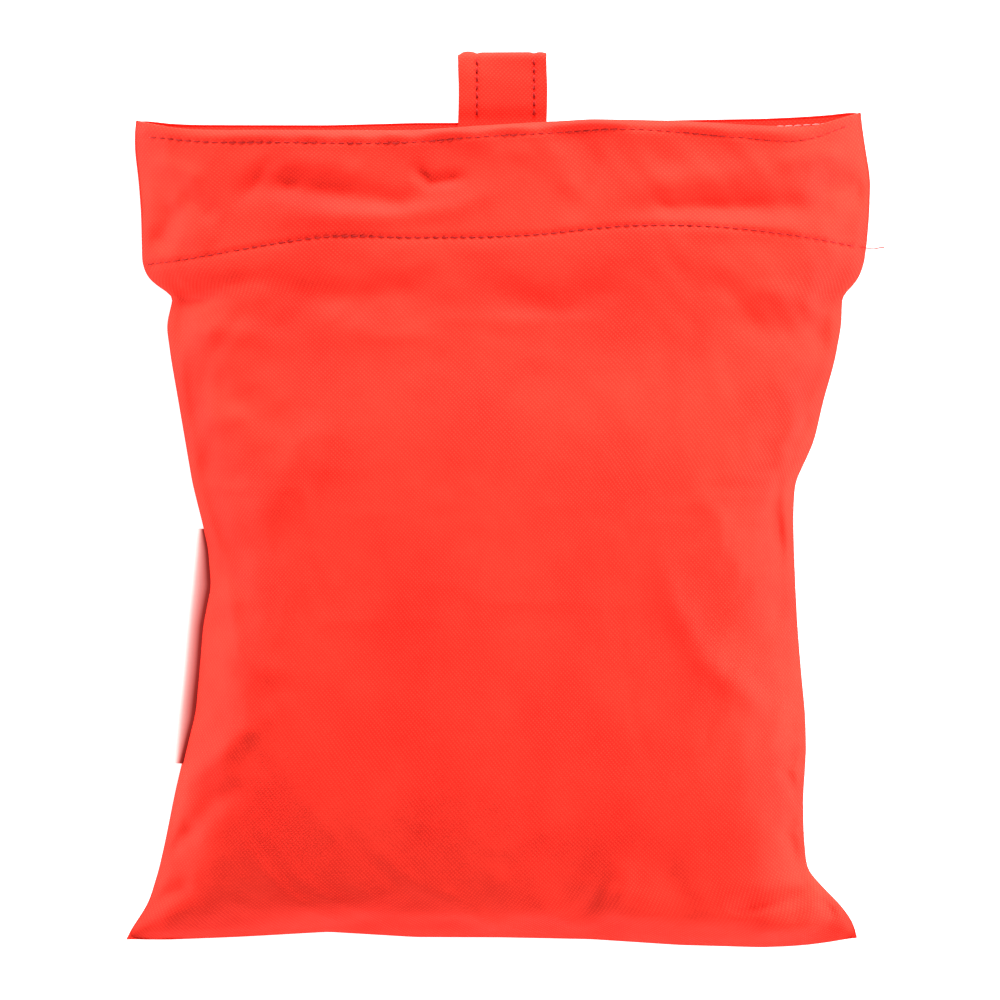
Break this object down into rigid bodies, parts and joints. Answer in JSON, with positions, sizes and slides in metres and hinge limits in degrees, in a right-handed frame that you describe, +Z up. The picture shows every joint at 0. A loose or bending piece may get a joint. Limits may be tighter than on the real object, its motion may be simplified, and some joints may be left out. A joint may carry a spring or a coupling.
{
  "type": "fire blanket in soft pouch",
  "caption": "Soft red woven pouch with a wide hemmed mouth and a hanging loop, holding a folded glass-fibre fire blanket that pulls out by two tabs.",
  "frame": {"origin": "middle of the pouch's outline, at the height of the surface it lies on", "axes": "+Z up from the surface it lies on, out of the pouch's front; +Y towards the mouth and hanging loop; +X to the right when the mouth is at the top"},
  "size_m": [0.261, 0.314, 0.0284],
  "materials": {
    "pouch_cloth": "woven",
    "pouch_inside": "woven",
    "red_thread": "twisted",
    "pale_thread": "twisted",
    "white_thread": "twisted",
    "label_cloth": "satin weave",
    "glass_cloth": "woven",
    "tab_webbing": "woven"
  },
  "bodies": {
    "pouch": {"back_panel": "pouch_cloth", "back_hem": "pouch_inside", "front_panel": "pouch_cloth", "side_seam_left": "pouch_inside", "side_seam_right": "pouch_inside", "bottom_seam": "pouch_inside", "side_stitching_left": "red_thread", "side_stitching_right": "red_thread", "bottom_stitching": "red_thread", "back_rim_stitching": "pale_thread", "back_hem_stitching": "pale_thread", "hang_loop_root": "pouch_cloth", "loop_anchor_stitching": "pale_thread"},
    "mouth": {"mouth_band": "pouch_cloth", "front_hem": "pouch_inside", "front_rim_stitching": "red_thread", "front_hem_stitching": "red_thread"},
    "loop": {"hang_loop": "pouch_cloth", "loop_stitching_left": "red_thread", "loop_stitching_right": "red_thread"},
    "label": {"label": "label_cloth"},
    "blanket": {"fire_blanket": "glass_cloth", "blanket_hem_stitching": "white_thread"},
    "tab_left": {"pull_tab_left": "tab_webbing", "pull_tab_stitching_left": "white_thread"},
    "tab_right": {"pull_tab_right": "tab_webbing", "pull_tab_stitching_right": "white_thread"}
  },
  "joints": [
    {"name": "mouth_open", "type": "hinge", "parent": "pouch", "child": "mouth", "pos_m": [0, 0.074, 0.0244], "axis": [1, 0, 0], "range_deg": [0, 35]},
    {"name": "loop_lift", "type": "hinge", "parent": "pouch", "child": "loop", "pos_m": [0.0015, 0.1322, 0.0024], "axis": [1, 0, 0], "range_deg": [0, 80]},
    {"name": "label_lift", "type": "hinge", "parent": "pouch", "child": "label", "pos_m": [-0.10728, -0.051, 0.0102], "axis": [0.0997, 0.995, 0], "range_deg": [0, 110]},
    {"name": "blanket_slide", "type": "slide", "parent": "pouch", "child": "blanket", "axis": [0, 1, 0], "range_m": [0, 0.3]},
    {"name": "tab_left_lift", "type": "hinge", "parent": "blanket", "child": "tab_left", "pos_m": [-0.0538, 0.0429, 0.0104], "axis": [1, 0, 0], "range_deg": [0, 8]},
    {"name": "tab_right_lift", "type": "hinge", "parent": "blanket", "child": "tab_right", "pos_m": [0.0578, 0.0429, 0.0104], "axis": [1, 0, 0], "range_deg": [0, 8]}
  ]
}
